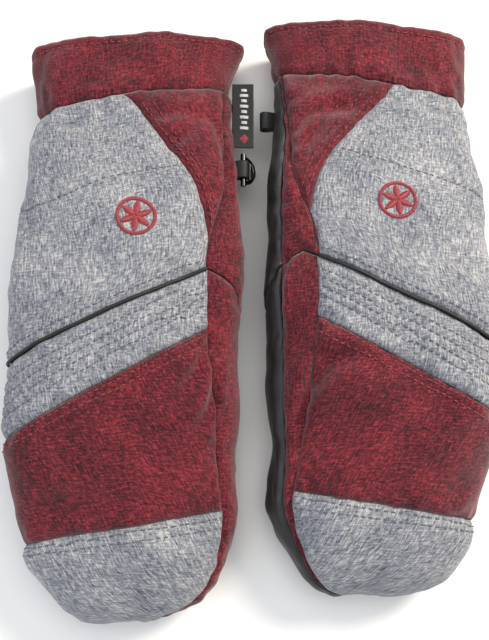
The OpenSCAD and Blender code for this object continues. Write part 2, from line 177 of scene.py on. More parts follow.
def newMesh(name, verts, faces, uv=None, smooth=True, extra=()):
    mesh = bpy.data.meshes.new(name)
    mesh.from_pydata(verts.tolist(), [], faces.tolist() + list(extra))
    if uv is not None:
        layer = mesh.uv_layers.new(name="cloth")
        index = np.empty(len(mesh.loops), np.int32)
        mesh.loops.foreach_get("vertex_index", index)
        layer.data.foreach_set("uv", uv[index].astype(np.float32).ravel())
    mesh.polygons.foreach_set("use_smooth", np.full(len(mesh.polygons), smooth))
    mesh.update()
    obj = bpy.data.objects.new(name, mesh)
    bpy.context.scene.collection.objects.link(obj)
    return obj


# A grid of points made a surface. Rows run from the cuff to the tip and columns round the
# mitten with the angle, so its faces point out of the right-hand mitten.
def surface(name, p, side, uv=None, ring=False, thickness=None, closeRows=False, caps=False):
    rows, cols = p.shape[:2]
    i = np.arange(rows if closeRows else rows - 1)[:, None]
    j = np.arange(cols if ring else cols - 1)[None, :]
    k, m = (i + 1) % rows, (j + 1) % cols
    quads = np.stack([i * cols + j, i * cols + m, k * cols + m, k * cols + j], -1).reshape(-1, 4)
    if side == "left":
        quads = quads[:, ::-1]
    ends = []
    if caps:                              # a face over each end of a tube
        first = np.arange(cols)
        ends = [first[::-1].tolist(), ((rows - 1) * cols + first).tolist()]
        ends = [e[::-1] for e in ends] if side == "left" else ends
    flatUv = None if uv is None else uv.reshape(-1, 2)
    obj = newMesh(name, place(p, side).reshape(-1, 3), quads, flatUv, extra=ends)
    if thickness:
        wall = obj.modifiers.new("cloth thickness", "SOLIDIFY")
        wall.thickness, wall.offset, wall.use_even_offset = thickness / 1000, -1, False
    return obj


def clothUv(p):  # metres across and along the cloth, measured on the surface
    across = arcs(p, 1)
    mid = across.shape[1] // 2
    u = across - across[:, mid:mid + 1] + p[:, mid:mid + 1, 0]
    v = p[:1, :, 1] - arcs(p, 0)
    return np.stack([u, v], -1) / 1000


def linear(hexColour):  # sRGB hex to the linear values the shader works in
    c = np.array([int(hexColour[i:i + 2], 16) / 255 for i in (1, 3, 5)])
    c = np.where(c <= 0.04045, c / 12.92, ((c + 0.055) / 1.055) ** 2.4)
    return (*c, 1.0)


def add(tree, kind, links=(), **settings):  # one node with its settings and its input links
    node = tree.nodes.new(kind)
    for key, value in settings.items():
        if key.startswith("in_"):
            sock = node.inputs[int(key[3:]) if key[3:].isdigit() else key[3:].replace("_", " ")]
            sock.default_value = value
        else:
            setattr(node, key, value)
    for source, target in links:
        tree.links.new(source, node.inputs[target])
    return node


def newMaterial(name, roughness, **constants):
    mat = bpy.data.materials.new(name)
    mat.use_nodes = True
    tree = mat.node_tree
    shader = tree.nodes["Principled BSDF"]
    shader.inputs["Roughness"].default_value = roughness
    for key, value in constants.items():
        shader.inputs[key.replace("_", " ")].default_value = value
    return mat, tree, shader


def ramp(tree, source, stops):
    node = add(tree, "ShaderNodeValToRGB", [(source, "Fac")])
    while len(node.color_ramp.elements) < len(stops):
        node.color_ramp.elements.new(0.5)
    for element, (at, colour) in zip(node.color_ramp.elements, stops):
        element.position, element.color = at, linear(colour)
    return node


def pattern(tree, source, scale, detail=2.0, roughness=0.55):  # noise on coordinates in metres
    turned = add(tree, "ShaderNodeMapping", [(source, "Vector")])
    turned.inputs["Scale"].default_value = scale
    return add(tree, "ShaderNodeTexNoise", [(turned.outputs[0], "Vector")], in_Scale=1.0,
               in_Detail=detail, in_Roughness=roughness)


def combine(tree, operation, first, second):
    node = add(tree, "ShaderNodeMath", operation=operation)
    for k, value in enumerate((first, second)):
        if isinstance(value, (int, float)):
            node.inputs[k].default_value = value
        else:
            tree.links.new(value, node.inputs[k])
    return node.outputs[0]


# Polyester cloth woven from melange yarns of several dyes: the eye gets short light and dark
# streaks along both threads, and a soft matte face. Its 0.35 mm threads are drawn 0.8 mm wide
# so that they show.
heather = {
    "burgundy": {"stops": [(0.33, "#1f070e"), (0.45, "#47111b"), (0.55, "#6b1c27"),
                           (0.68, "#93303a")], "warp": 0.30, "weft": 0.30, "grain": 0.40,
                 "roughness": 0.88, "twill": 0.5},
    "grey": {"stops": [(0.32, "#454b57"), (0.43, "#6d717a"), (0.54, "#8c8e94"),
                       (0.68, "#bbbab6")], "warp": 0.42, "weft": 0.28, "grain": 0.30,
             "roughness": 0.85, "twill": 0.0},
}


def heatherCloth(kind):
    look = heather[kind]
    mat, tree, shader = newMaterial(f"{kind} melange polyester, woven", look["roughness"],
                                    Sheen_Weight=0.25, Sheen_Roughness=0.5,
                                    Specular_IOR_Level=0.25)
    uv = add(tree, "ShaderNodeUVMap", uv_map="cloth").outputs[0]
    warp = pattern(tree, uv, (1150, 210, 1), 2.5)      # slubs 0.9 mm wide, 5 mm long
    weft = pattern(tree, uv, (230, 1150, 1), 2.5)
    grain = pattern(tree, uv, (760, 760, 1), 3.0, 0.7)
    broad = pattern(tree, uv, (42, 30, 1), 2.0)        # slow change of shade, 25 mm
    mixed = combine(tree, "ADD", combine(tree, "MULTIPLY", warp.outputs[0], look["warp"]),
                    combine(tree, "MULTIPLY", weft.outputs[0], look["weft"]))
    mixed = combine(tree, "ADD", mixed, combine(tree, "MULTIPLY", grain.outputs[0], look["grain"]))
    mixed = combine(tree, "ADD", mixed, combine(tree, "MULTIPLY", combine(
        tree, "SUBTRACT", broad.outputs[0], 0.5), 0.16))
    spread = combine(tree, "ADD", combine(tree, "MULTIPLY", combine(
        tree, "SUBTRACT", mixed, 0.5), 1.55), 0.5)
    colour = ramp(tree, spread, look["stops"])
    tree.links.new(colour.outputs[0], shader.inputs["Base Color"])
    # the weave: a wave across each thread direction, or a diagonal one on twill
    turned = add(tree, "ShaderNodeMapping", [(uv, "Vector")])
    turned.inputs["Rotation"].default_value = (0, 0, math.radians(38) * look["twill"] * 2)
    wave = add(tree, "ShaderNodeTexWave", [(turned.outputs[0], "Vector")], in_Scale=390.0,
               in_Distortion=1.2, in_Detail=1.0)
    height = combine(tree, "ADD", combine(tree, "MULTIPLY", wave.outputs["Fac"], 0.35), mixed)
    bump = add(tree, "ShaderNodeBump", [(height, "Height")], in_Strength=0.55,
               in_Distance=0.0006)
    tree.links.new(bump.outputs[0], shader.inputs["Normal"])
    return mat


# Coated split leather: embossed with a fine pebble grain, with a soft sheen where it bends.
def coatedLeather():
    mat, tree, shader = newMaterial("black coated leather, embossed", 0.42,
                                    Specular_IOR_Level=0.45, Coat_Weight=0.08,
                                    Coat_Roughness=0.4)
    at = add(tree, "ShaderNodeTexCoord").outputs["Object"]
    cells = add(tree, "ShaderNodeTexVoronoi", [(at, "Vector")], in_Scale=900.0,
                feature="DISTANCE_TO_EDGE")            # pebbles 1.1 mm apart
    wear = pattern(tree, at, (55, 55, 55), 3.0)
    colour = ramp(tree, wear.outputs[0], [(0.3, "#161617"), (0.7, "#2b2b2c")])
    rough = add(tree, "ShaderNodeMapRange", [(wear.outputs[0], "Value")])
    rough.inputs["To Min"].default_value, rough.inputs["To Max"].default_value = 0.36, 0.56
    edge = combine(tree, "MINIMUM", combine(tree, "MULTIPLY", cells.outputs["Distance"], 6.0), 1.0)
    bump = add(tree, "ShaderNodeBump", [(edge, "Height")], in_Strength=0.3, in_Distance=0.0004)
    for source, target in ((colour.outputs[0], "Base Color"), (rough.outputs[0], "Roughness"),
                           (bump.outputs[0], "Normal")):
        tree.links.new(source, shader.inputs[target])
    return mat


# A textile or plastic in two close shades, with a grain of the given size in millimetres.
def plainFinish(name, dark, light, grain, roughness, bumpHeight, stretch=(1, 1, 1), **constants):
    mat, tree, shader = newMaterial(name, roughness, **constants)
    at = add(tree, "ShaderNodeTexCoord").outputs["Object"]
    noise = pattern(tree, at, tuple(1000 / grain / k for k in stretch), 3.0, 0.6)
    colour = ramp(tree, noise.outputs[0], [(0.32, dark), (0.68, light)])
    bump = add(tree, "ShaderNodeBump", [(noise.outputs[0], "Height")], in_Strength=0.6,
               in_Distance=bumpHeight)
    tree.links.new(colour.outputs[0], shader.inputs["Base Color"])
    tree.links.new(bump.outputs[0], shader.inputs["Normal"])
    return mat


finish = {
    "burgundy": heatherCloth("burgundy"),
    "grey": heatherCloth("grey"),
    "leather": coatedLeather(),
    # brushed polyester: short pile, so soft light at grazing angles
    "fleece": plainFinish("black polyester fleece, brushed", "#0d0d0f", "#26262a", 0.9, 0.95,
                          0.0007, Sheen_Weight=0.4, Sheen_Roughness=0.6),
    # cotton and rubber tape, ribbed along its length
    "elastic": plainFinish("black elastic tape, ribbed", "#0c0c0d", "#1e1e20", 0.8, 0.8, 0.0004,
                           (1, 1, 0.4), Sheen_Weight=0.15),
    # acrylic rib knit
    "knit": plainFinish("black acrylic knit, ribbed", "#0e0e10", "#2a2a2e", 0.9, 0.9, 0.0005,
                        (1, 4, 1), Sheen_Weight=0.3),
    # waxed cord in a polyester bias tape: smooth and faintly shiny
    "piping": plainFinish("black corded piping, bias tape", "#0b0b0c", "#1b1b1d", 0.7, 0.55,
                          0.0002),
    # nylon, woven tight with a flat rib
    "webbing": plainFinish("black nylon webbing, woven", "#0d0d0e", "#222225", 0.8, 0.6, 0.0003,
                           (0.5, 3, 1)),
    # polyester fibre fill, needled; coloured dark grey as painted shade, so that where it shows in a
    # gap at a seam it reads as the seam's shadow
    "wadding": plainFinish("polyester wadding, painted seam shade grey", "#232326", "#47474b", 2.2,
                           0.98, 0.0015),
    # damask ribbon: fine matte warp
    "label": plainFinish("black damask ribbon, woven", "#09090a", "#17171a", 0.5, 0.72, 0.0001),
    "labelWhite": plainFinish("white ribbon thread, woven", "#a9a9a7", "#d2d2d0", 0.5, 0.7,
                              0.0002),
    # acetal, moulded and glossy
    "plastic": plainFinish("black acetal, moulded", "#070708", "#101012", 6.0, 0.16, 0.00005,
                           IOR=1.48, Coat_Weight=0.3),
    # trilobal rayon threads: a silky gloss along each stitch
    "redThread": plainFinish("red rayon thread, satin stitch", "#6d141f", "#a0222f", 1.2, 0.42,
                             0.0002, Sheen_Weight=0.3),
    # spun polyester sewing thread, dyed to the cloth
    "burgundyThread": plainFinish("burgundy polyester thread, spun", "#5a1822", "#a04a52", 1.0,
                                  0.6, 0.0002),
    "greyThread": plainFinish("grey polyester thread, spun", "#4a4d55", "#6d7078", 1.0, 0.6,
                              0.0002),
}
print("materials made")


def fit(obj, look, body, *replaced):  # finish, body and the CAD nodes that the piece stands for
    obj.data.materials.clear()
    obj.data.materials.append(finish[look])
    if replaced:
        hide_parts(*replaced)
    if body:
        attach(obj, body)
    return obj


# Creases in the padded cloth: [station, angle, half length, width, depth, turn]. The
# turn is in degrees from the line round the mitten.
creases = {
    "right": [[-52, 60, 17, 5, 2.6, -38], [-60, 46, 14, 4, 1.6, -60], [84, 62, 26, 5, 1.1, -30],
              [104, 120, 34, 4, 0.8, 6], [98, 60, 20, 4, 1.2, 10], [-88, 120, 40, 8, 0.8, 8],
              [20, 140, 30, 7, 0.7, 20], [60, 150, 24, 6, 0.8, 62], [70, 28, 24, 5, 1.2, 75]],
    "left": [[-50, 66, 20, 5, 2.8, 34], [-66, 52, 16, 4, 1.8, 50], [92, 66, 22, 5, 1.4, 18],
             [106, 118, 30, 4, 0.8, -6], [74, 58, 24, 5, 1.0, 58], [-84, 118, 36, 8, 0.9, -8],
             [24, 144, 26, 7, 0.7, -20], [-20, 30, 26, 4, 1.0, 80], [50, 32, 24, 5, 1.0, 80]],
}


def creaseField(s, a, side):
    total = np.zeros(np.shape(s))
    arc = (np.asarray(a) - 90) * 0.95          # millimetres round the back, roughly
    for station, angle, reach, width, depth, turn in creases[side]:
        ds, da = s - station, arc - (angle - 90) * 0.95
        c, k = math.cos(math.radians(turn)), math.sin(math.radians(turn))
        along, off = da * c + ds * k, -da * k + ds * c
        off = off + 0.012 * along ** 2 * (1 if turn > 0 else -1) / 2
        fade = np.exp(-(along / reach) ** 2)
        total += cloth["creaseScale"] * fade * depth * (
            -np.exp(-(off / width) ** 2) + 0.55 * np.exp(-((off - 1.9 * width) / width) ** 2)
            + 0.45 * np.exp(-((off + 1.9 * width) / width) ** 2))
    return total


# The skin set in by half the cloth, then moved along its normal by the sag, the gathers at the
# cuff and tip seams, the creases and any height that the piece adds.
def clothPoint(s, a, side, height=0.0, depth=None, floor=0.15):
    s, a = np.broadcast_arrays(np.asarray(s, float), np.asarray(a, float))
    p = skin(s, a, cloth["inset"] if depth is None else depth)
    n = normals(p)
    seed = 11 if side == "right" else 23
    sag = ripple(p, 46, seed) * cloth["sag"] + ripple(p, 17, seed + 1, (1.6, 0.8, 1.6)) * 0.22
    gather = np.exp(-((s - cuffSeam + 3) / 15) ** 2) * ripple(p, 15, seed + 2, (0.7, 3.5, 0.7)) * 0.55
    gather += np.exp(-((s - tipSeam) / 13) ** 2) * ripple(p, 14, seed + 3, (0.8, 3.0, 0.8)) * 0.35
    h = sag + gather + creaseField(s, a, side) + height
    p = p + n * h[..., None]
    p[..., 2] = np.maximum(p[..., 2], floor)
    return p


# One cut panel: a fine grid between its seams that rises from them, with small puckers where
# the thread draws the cloth in. quilt gives extra lines that are sewn down.
def panel(name, side, stations, angles, size, quilt=None, puff=1.0):
    rows, cols = (max(6, int(round(k / cloth["grid"]))) for k in size)
    under = cloth["allowance"] / size[1]
    t, v = np.meshgrid(np.linspace(0, 1, rows + 1), np.linspace(-under, 1 + under, cols + 1),
                       indexing="ij")
    s = stations(t, np.full_like(t, 90.0))
    for _ in range(4):                 # station and angle depend on each other
        a = angles(s, v)
        s = stations(t, a)
    flat = skin(s, a, cloth["inset"])
    along, across = arcs(flat, 0), arcs(flat, 1)
    fromSide = np.minimum(across, across[:, -1:] - across)
    gap = np.minimum.reduce([along, along[-1:] - along, fromSide])
    h = -cloth["seamDepth"] * np.exp(-(gap / cloth["seamWidth"]) ** 1.5)
    h += cloth["puff"] * puff * (1 - np.exp(-gap / 9))
    h += (cloth["pucker"] * np.exp(-((gap - 2.5) / cloth["puckerReach"]) ** 2)
          * ripple(flat, 7.5, 31 + len(name), (1, 1.3, 1)))
    # the seam allowance dives under
    h -= 0.8 * np.clip(1 - fromSide / (1.5 * cloth["allowance"]), 0, 1)
    if quilt is not None:
        h += quilt(s, a, flat, gap)
    p = clothPoint(s, a, side, h)
    return surface(name, p, side, clothUv(flat), thickness=cloth["thickness"])


def between(first, last):  # stations that run straight from one seam to the next
    return lambda t, a: first + (last - first) * t


def handRows(last):  # from the cuff seam to the hood, ending at last(angle)
    return lambda t, a: cuffSeam - 0.2 + (last(a) - cuffSeam) * t


# From the parting line straight to the tip seam, then round the fingertip.
def hoodRows(start, bend=0.62, depth=1.2):
    def rows(t, a):
        straight = start(a) + (tipSeam - start(a)) * t / bend
        return np.where(t < bend, straight,
                        tipStation(np.clip((t - bend) / (1 - bend), 0, 1), depth))
    return rows


quilting = {"rows": [-7.5, -12.5, -17.5, -22.5], "depth": 1.15, "width": 1.6}


def quiltLines(s, a, flat, gap):
    h = np.zeros(np.shape(s))
    for row in quilting["rows"]:
        h -= quilting["depth"] * np.exp(-((s - row) / quilting["width"]) ** 2)
    return h * np.clip(gap / 4, 0, 1) + 0.25


def gussetLines(side):  # two rows of sewing beside the gusset's slanting edge
    def lines(s, a, flat, gap):
        off = (backSeam(s, side) - a) * 0.95
        rows = np.exp(-((off - 2.6) / 0.9) ** 2) + np.exp(-((off - 7.4) / 0.9) ** 2)
        return -0.55 * rows * np.clip(gap / 2, 0, 1)
    return lines


def faintLine(s, a, flat, gap):  # a row of sewing across the back, above the emblem
    return -0.4 * np.exp(-((s - 66) / 1.3) ** 2) * np.clip(gap / 5, 0, 1)


def build(side):
    hand, hood = f"{side}_hand", f"{side}_hood"
    made = {}
    room = mitten["hingeRoom"]

    def edge(s): return palmEdge(s, side)
    def strip(s): return stripSeam(s, side)
    def back(s): return backSeam(s, side)
    def mixed(low, high): return lambda s, v: low(s) + (high(s) - low(s)) * v
    def const(k): return lambda s: np.full_like(s, float(k))

    rows = [  # key, node, finish, stations, angles, size in mm, body, options
        ("BackPanel", "back_panel", "grey", handRows(lambda a: room), mixed(back, const(palmOut)),
         (114, 130), hand, {"quilt": faintLine}),
        ("WristGusset", "wrist_gusset", "burgundy", handRows(lambda a: room), mixed(strip, back),
         (114, 60), hand, {"quilt": gussetLines(side)}),
        ("HandStrip", "hand_fourchette", "burgundy", handRows(lambda a: 0.3 - setback(a)),
         mixed(edge, strip), (130, 60), hand, {}),
        ("PalmLeather", "palm_panel", "leather",
         handRows(lambda a: 0.3 - np.where(a > 345, setback(a), lipSetback)),
         mixed(const(palmOut), lambda s: 360 + edge(s)), (158, 150), hand, {"puff": 0.3}),
        ("QuiltedBand", "quilted_band", "grey", between(-room, knuckleSeam),
         mixed(strip, const(palmOut)), (32, 150), hood, {"quilt": quiltLines, "puff": 0.7}),
        ("KnucklePanel", "knuckle_panel", "burgundy", between(knuckleSeam - 0.2, tipSeam),
         mixed(strip, const(palmOut)), (74, 150), hood, {}),
        ("TipPanel", "tip_panel", "grey", lambda t, a: tipStation(t, cloth["inset"]),
         mixed(strip, const(palmOut)), (62, 130), hood, {}),
        ("HoodStrip", "hood_fourchette", "burgundy", hoodRows(lambda a: -room - setback(a)),
         mixed(edge, strip), (150, 50), hood, {}),
        ("HoodLeather", "hood_palm", "leather",
         hoodRows(lambda a: -np.where(a > 345, room + setback(a), lipSetback + 0.3)),
         mixed(const(palmOut), lambda s: 360 + edge(s)), (130, 150), hood, {"puff": 0.3}),
    ]
    for key, node, look, stations, angles, size, body, options in rows:
        piece = panel(side + key, side, stations, angles, size, **options)
        made[key] = fit(piece, look, body, f"{side}_{node}")

    # cuff band: one ring whose hem is turned over and whose topstitch draws it in
    t, a = np.meshgrid(np.linspace(0, 1, 30), np.arange(0, 360, 1.5), indexing="ij")
    s = hem - (hem - cuffSeam) * t
    flat = skin(s, a, cloth["inset"])
    h = -1.6 * np.exp(-((s - cuffSeam) / 2.2) ** 2) - 0.9 * np.exp(-((s - hem) / 1.3) ** 2)
    h += -0.6 * np.exp(-((s - 145.5) / 1.1) ** 2) + 1.1 * (1 - np.exp(-np.abs(s - cuffSeam) / 7))
    h += 0.25 * ripple(flat, 9, 77, (1, 1.4, 1))
    p = clothPoint(s, a, side, h)
    uv = np.stack([(a - 90) * 0.9, s], -1) / 1000
    made["CuffBand"] = fit(surface(side + "CuffBand", p, side, uv, True, 1.6), "burgundy", hand,
                           f"{side}_cuff_band")

    # layers inside: turned facing, wrist elastic, wadding, fleece
    def layer(key, node, look, body, stations, depth, thickness, count, wave=0.25):
        t, a = np.meshgrid(np.linspace(0, 1, count), np.arange(0, 360, 3.0), indexing="ij")
        s = stations(t, a)
        flat = skin(s, a, depth)
        p = clothPoint(s, a, side, wave * ripple(flat, 12, len(key) + 5), depth, depth)
        piece = surface(side + key, p, side, clothUv(p), True, thickness)
        made[key] = fit(piece, look, body, f"{side}_{node}")
        return piece

    layer("CuffFacing", "cuff_facing", "burgundy", hand, between(149, 136), 2.4, 1.1, 10, 0.1)
    layer("WristElastic", "wrist_elastic", "elastic", hand, between(126, 117), 2.4, 1.1, 24,
          0.1)
    layer("HandWadding", "hand_insulation", "wadding", hand,
                    lambda t, a: 104 + (4 - setback(a) - 104) * t, 4.2, 2.0, 60, 0.2)
    layer("HoodWadding", "hood_insulation", "wadding", hood,
                    hoodRows(lambda a: -4 - setback(a), 0.6, 4.2), 4.2, 2.0, 60, 0.2)
    layer("HandLining", "hand_lining", "fleece", hand,
          lambda t, a: 148.5 + (4 - setback(a) - 148.5) * t, 6.5, 1.2, 90)
    layer("HoodLining", "hood_lining", "fleece", hood,
          hoodRows(lambda a: -4 - setback(a), 0.6, 6.5), 6.5, 1.2, 70)
    return made


pieces = {side: build(side) for side in ("right", "left")}
print("panels and layers made")


def tube(name, centres, across, up, radii, side, sides=12, closed=False):
    # an ellipse carried along a path: a point is the centre plus its two directions
    k = np.arange(sides) * 2 * math.pi / sides
    rx, ry = radii
    p = (centres[:, None] + across[:, None] * (rx * np.cos(k))[None, :, None]
         + up[:, None] * (ry * np.sin(k))[None, :, None])
    obj = surface(name, p, side, None, True, closeRows=closed, caps=not closed)
    recalc(obj)
    return obj


def recalc(obj):  # makes a closed piece's faces point outwards
    shape = bmesh.new()
    shape.from_mesh(obj.data)
    bmesh.ops.recalc_face_normals(shape, faces=shape.faces)
    shape.to_mesh(obj.data)
    shape.free()
    obj.data.update()


def unit(v):
    return v / np.maximum(np.linalg.norm(v, axis=-1, keepdims=True), 1e-9)


for side in ("right", "left"):
    hand, hood = f"{side}_hand", f"{side}_hood"
    # piping: a cord laid in the hinge seam, following the cloth
    a = np.linspace(float(stripSeam(0, side)) + 1, palmOut, 130)
    grid = clothPoint(np.array([1.0, 0.0, -1.0])[:, None] * np.ones(len(a)), a, side)
    line = grid[1]
    along = unit(np.gradient(line, axis=0))
    out = normals(grid)[1]
    line = line - out * 0.1
    across = unit(np.cross(out, along))
    cord = tube(side + "HingePiping", line, across, out, (0.85, 0.85), side, 12)
    fit(cord, "piping", hand, f"{side}_hinge_piping")
    # tape under the piping
    t, v = np.meshgrid(np.linspace(5.0, -5.0, 25), np.linspace(62, 118, 60), indexing="ij")
    tape = surface(side + "HingeTape", clothPoint(t, v, side, -4.4), side,
                   clothUv(skin(t, v, 3.1)), thickness=0.8)
    fit(tape, "elastic", None)
    middle = np.array([0.0, 0.0, 58.0])
    normal = np.array([-math.sin(math.radians(25)), math.cos(math.radians(25)), 0]) * 4.5
    tuple(place(middle + normal, side))
    tuple(place(middle - normal, side))
    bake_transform(tape)
    # binding that closes the layers' edges round the hand's mouth and the hood's lip
    for key, body, shift, node in (("HandBinding", hand, 3.2, None),
                                   ("LipBinding", hood, -3.2, f"{side}_lip_binding")):
        a = np.arange(0, 360, 2.0)
        s = (shift - setback(a))[None] + np.array([[1.0], [0.0], [-1.0]])
        p, q = (clothPoint(s, a, side, 0, d, d - 1.5) for d in (6.2, 4.2))
        out, backward = unit(q[1] - p[1]), (p[0] - p[1]) * np.sign(shift)
        p = p[1]
        backward = unit(backward - (backward * out).sum(-1, keepdims=True) * out)
        ring = tube(side + key, p, backward, out, (1.2, 1.9), side, 10, closed=True)
        fit(ring, "elastic", body, *([node] if node else []))
print("piping, tape and binding made")


thumb = {"root": (40, 89), "length": 66, "width": 34, "height": 13.4, "turn": (26, 58),
         "clear": 0.3}
stalls = {"radius": 8.0, "wall": 1.3, "length": 34.0, "depth": 24.0, "webY": 7.0, "shift": -7.0,
          "web": 1.4, "ribs": 26, "rib": 0.28, "names": ("little", "ring", "middle", "index")}


# The thumb pouch is a superellipse, flattened under the palm, carried from root to tip with a
# width that follows a power of a sine.
def thumbGrid(d, rows=70, cols=64):
    t, a = np.meshgrid(np.linspace(0, 1, rows), np.arange(cols) * 2 * math.pi / cols,
                       indexing="ij")
    f = np.maximum(0.02, np.sin(math.pi * t) ** 0.6)
    run = d + (thumb["length"] - 2 * d) * (1 - np.cos(math.pi * t)) / 2
    across = (thumb["width"] / 2 - d) * f * bulge(np.cos(a))
    rise = thumb["clear"] + thumb["height"] / 2 + (thumb["height"] / 2 - d) * f * bulge(np.sin(a))
    turn = math.atan2(*thumb["turn"])
    c, s = math.cos(turn), math.sin(turn)
    return np.stack([thumb["root"][0] - run * s + across * c,
                     thumb["root"][1] - run * c - across * s, rise], -1), t, a


def makeThumb(side):
    p, t, a = thumbGrid(0.5)
    n = normals(p)
    n = n * np.sign((n * (p - p.mean(1, keepdims=True))).sum(-1, keepdims=True) + 1e-12)
    seam = -0.7 * np.exp(-(np.sin(a / 2 + 0.35) / 0.05) ** 2)          # side seam
    cross = 0.35 * np.sin(t * 60) * np.exp(-((t - 0.3) / 0.2) ** 2)    # drawn-in root
    h = seam + cross + 0.3 * ripple(p, 9, 91) + 0.35 * np.exp(-((t - 0.16) / 0.02) ** 2)
    p = p + n * (h * np.sin(math.pi * t) ** 0.5)[..., None]
    p[..., 2] = np.clip(p[..., 2], 0.25, 13.9)
    obj = surface(side + "ThumbShell", p, side, clothUv(p), True)
    recalc(obj)
    fit(obj, "leather", f"{side}_hand", f"{side}_thumb_shell")
    p, t, a = thumbGrid(2.4, 40, 40)
    inner = surface(side + "ThumbLining", p, side, clothUv(p), True)
    recalc(inner)
    fit(inner, "fleece", f"{side}_hand", f"{side}_thumb_lining")


# A stall is a closed profile, up the outside and back down the inside, turned round its axis,
# with ribs as a wave round it. Its foot is cut off slantwise along the web.
def makeStall(side, k):
    pitch = (2 * stalls["radius"] + 0.4) / math.cos(math.radians(mitten["slant"]))
    c, s = math.cos(math.radians(mitten["slant"])), math.sin(math.radians(mitten["slant"]))
    x0 = stalls["shift"] + (k - 1.5) * pitch
    centre = np.array([x0 * c - stalls["webY"] * s, x0 * s + stalls["webY"] * c,
                       mitten["hingeHeight"] - stalls["depth"]])
    r1, r0, tip = stalls["radius"], stalls["radius"] - stalls["wall"], stalls["length"]
    w = np.linspace(0, 1, 34)
    bend = np.linspace(0, math.pi, 9)[1:-1]
    half = (r1 - r0) / 2
    radius = np.concatenate([np.full(34, r1), (r1 + r0) / 2 + half * np.cos(bend),
                             np.full(34, r0)])
    share = np.concatenate([w, np.full(7, 1.0), w[::-1]])
    lift = np.concatenate([np.zeros(34), half * 1.2 * np.sin(bend), np.zeros(34)])
    outside = np.concatenate([np.ones(38), np.zeros(len(share) - 38)])
    a = np.arange(104) * 2 * math.pi / 104
    foot = (stalls["web"] + 0.3) / c - radius[:, None] * np.cos(a)[None] * math.tan(
        math.radians(mitten["slant"]))
    run = foot + (tip - half * 1.2 - foot) * share[:, None] + lift[:, None]
    ribs = -stalls["rib"] * (0.5 - 0.5 * np.cos(stalls["ribs"] * a))[None] * outside[:, None]
    r = radius[:, None] + ribs * np.ones_like(run)
    knitRow = 0.12 * np.sin(run * 2 * math.pi / 1.8) * outside[:, None]
    r = r + np.minimum(knitRow, 0)
    p = np.stack([centre[0] + r * np.cos(a), centre[1] - run, centre[2] + r * np.sin(a)], -1)
    name = stalls["names"][k]
    obj = surface(f"{side}Stall{name.title()}", p, side, None, True, closeRows=True)
    recalc(obj)
    fit(obj, "knit", f"{side}_hand", f"{side}_{name}_stall")


for side in ("right", "left"):
    makeThumb(side)
    for k in range(4):
        makeStall(side, k)
    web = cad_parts[f"{side}_stall_web"]
    web.data.materials.clear()
    web.data.materials.append(finish["knit"])
print("thumbs and finger stalls made")


def searchTree(objs):  # one search tree over some finished panels
    verts, faces, base = [], [], 0
    for obj in objs:
        mesh = obj.data
        co = np.empty(len(mesh.vertices) * 3, np.float32)
        mesh.vertices.foreach_get("co", co)
        idx = np.empty(len(mesh.loops), np.int32)
        mesh.loops.foreach_get("vertex_index", idx)
        verts.append(co.reshape(-1, 3))
        faces.append(idx.reshape(-1, 4) + base)
        base += len(mesh.vertices)
    return BVHTree.FromPolygons(np.concatenate(verts).tolist(), np.concatenate(faces).tolist())


def onto(tree, points):  # the nearest points of the cloth, and its normals there
    hits = [tree.find_nearest(Vector(p)) for p in points]
    at = np.array([h[0] for h in hits])
    n = np.array([h[1] for h in hits])
    return at, n


# A stitch is a little bar with rounded ends: rings of five points along it, thinned at both.
def bars(name, starts, ends, ups, radius, flatten=0.7):
    t = np.array([0, 0.12, 0.5, 0.88, 1.0])
    wide = np.array([0.25, 0.85, 1.0, 0.85, 0.25])
    rise = np.array([-0.9, -0.1, 0.25, -0.1, -0.9])
    k = np.arange(5) * 2 * math.pi / 5
    along = unit(ends - starts)
    across = unit(np.cross(ups, along))
    up = np.cross(along, across)
    mid = starts[:, None] + (ends - starts)[:, None] * t[None, :, None]
    mid = mid + up[:, None] * (rise * radius)[None, :, None]
    ring = (across[:, None, None] * (np.cos(k)[None, None, :, None] * radius)
            + up[:, None, None] * (np.sin(k)[None, None, :, None] * radius * flatten))
    p = mid[:, :, None] + ring * wide[None, :, None, None]
    n = len(starts)
    r, c = np.meshgrid(np.arange(4), np.arange(5), indexing="ij")
    quads = np.stack([r * 5 + c, r * 5 + (c + 1) % 5, (r + 1) * 5 + (c + 1) % 5,
                      (r + 1) * 5 + c], -1).reshape(-1, 4)
    base = (np.arange(n) * 25)[:, None, None]
    body = (quads[None] + base).reshape(-1, 4)
    tri = np.array([[4, 3, 2], [4, 2, 1], [4, 1, 0], [20, 21, 22], [20, 22, 23], [20, 23, 24]])
    caps = (tri[None] + base).reshape(-1, 3)
    mesh = bpy.data.meshes.new(name)
    mesh.from_pydata(p.reshape(-1, 3).tolist(), [], body.tolist() + caps.tolist())
    mesh.polygons.foreach_set("use_smooth", np.full(len(mesh.polygons), True))
    mesh.update()
    obj = bpy.data.objects.new(name, mesh)
    bpy.context.scene.collection.objects.link(obj)
    return obj


sewing = {"stitch": 2.4, "gap": 1.2, "radius": 0.36, "lift": 0.22}


